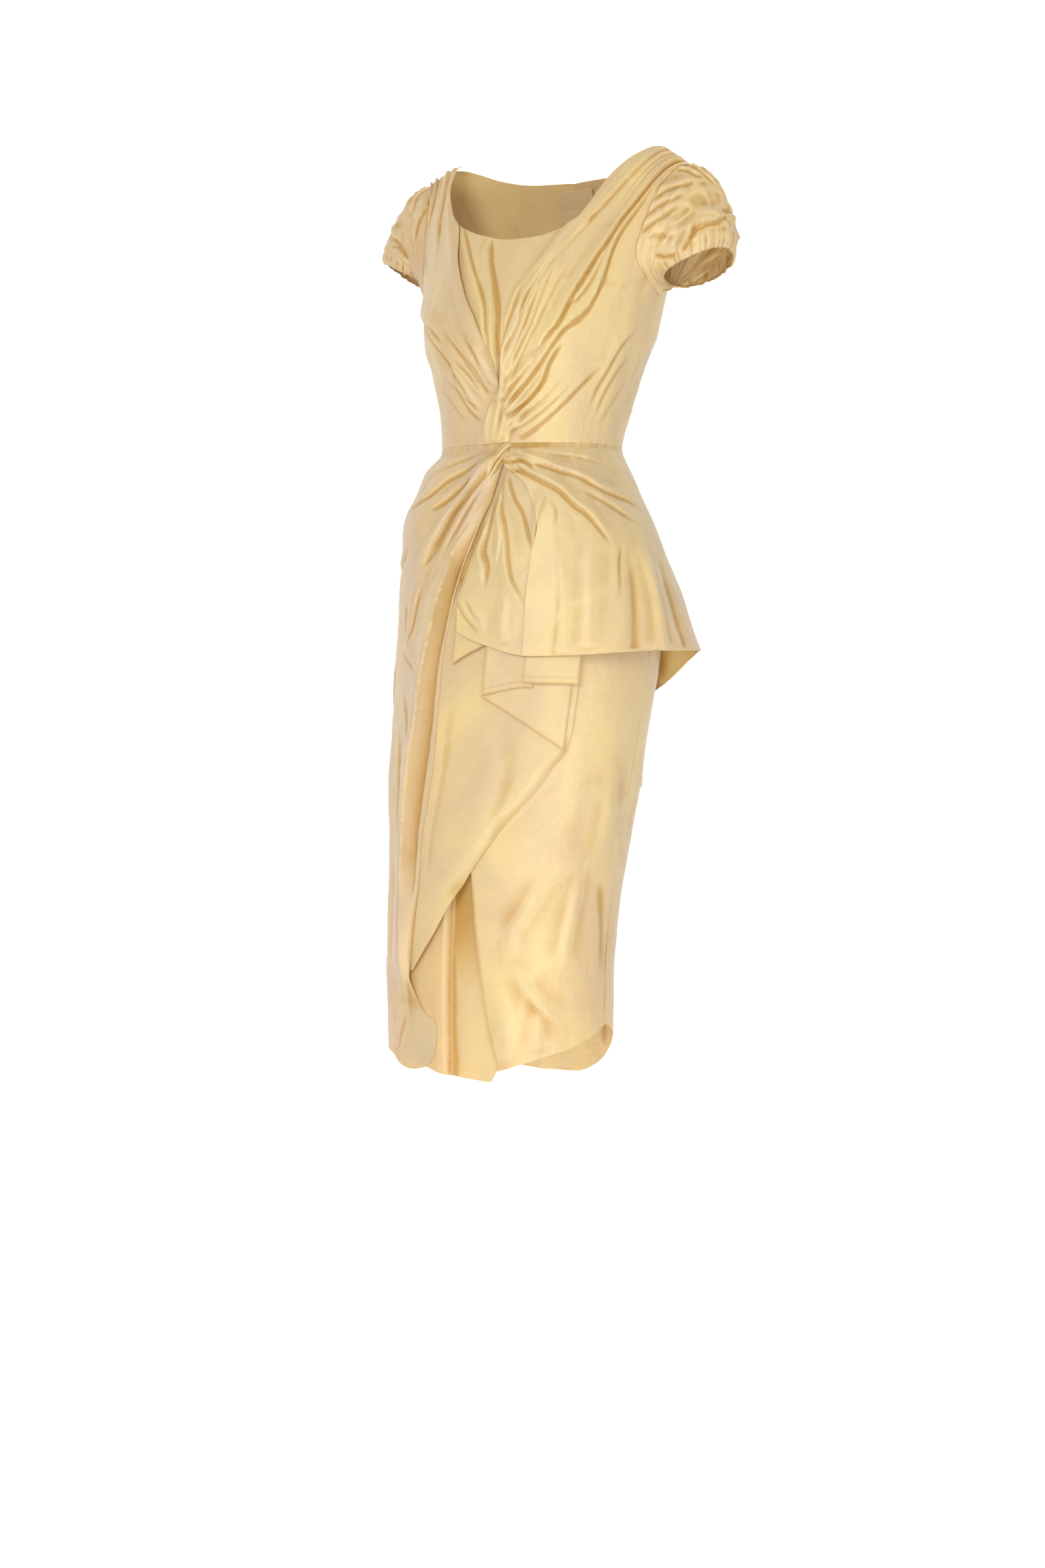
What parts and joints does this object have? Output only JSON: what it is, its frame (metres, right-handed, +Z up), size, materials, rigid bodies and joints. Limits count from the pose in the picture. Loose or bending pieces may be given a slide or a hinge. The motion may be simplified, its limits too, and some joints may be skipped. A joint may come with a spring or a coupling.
{
  "type": "cocktail dress, worn shape",
  "caption": "Knee-length draped cocktail dress with short puffed sleeves, a knotted waist, a side peplum and a wrapped skirt, hollow as worn.",
  "frame": {"origin": "midway between the shoulders at the height of the shoulder tops, where the wearer holds it up", "axes": "+X to the wearer's left, -Y to the front, +Z up"},
  "size_m": [0.4578, 0.2622, 1.0931],
  "materials": {
    "taffeta": "crisp satin-like silk taffeta, shot pale yellow",
    "zip_tape": "woven tape"
  },
  "bodies": {
    "root": {"bodice_inset": "taffeta", "bodice_drape_right": "taffeta", "bodice_drape_left": "taffeta", "bodice_back_left": "taffeta", "bodice_back_right": "taffeta", "skirt_back_left": "taffeta", "skirt_back_right": "taffeta", "skirt_front_left": "taffeta", "skirt_underlap": "taffeta", "skirt_overlay": "taffeta", "skirt_wrap": "taffeta", "peplum_swag": "taffeta", "peplum_main": "taffeta", "peplum_tier_side": "taffeta", "peplum_tier_front": "taffeta", "peplum_point": "taffeta", "peplum_corner": "taffeta", "waist_knot": "taffeta", "back_zip": "zip_tape", "sleeve_left": "taffeta", "sleeve_right": "taffeta"}
  },
  "joints": []
}
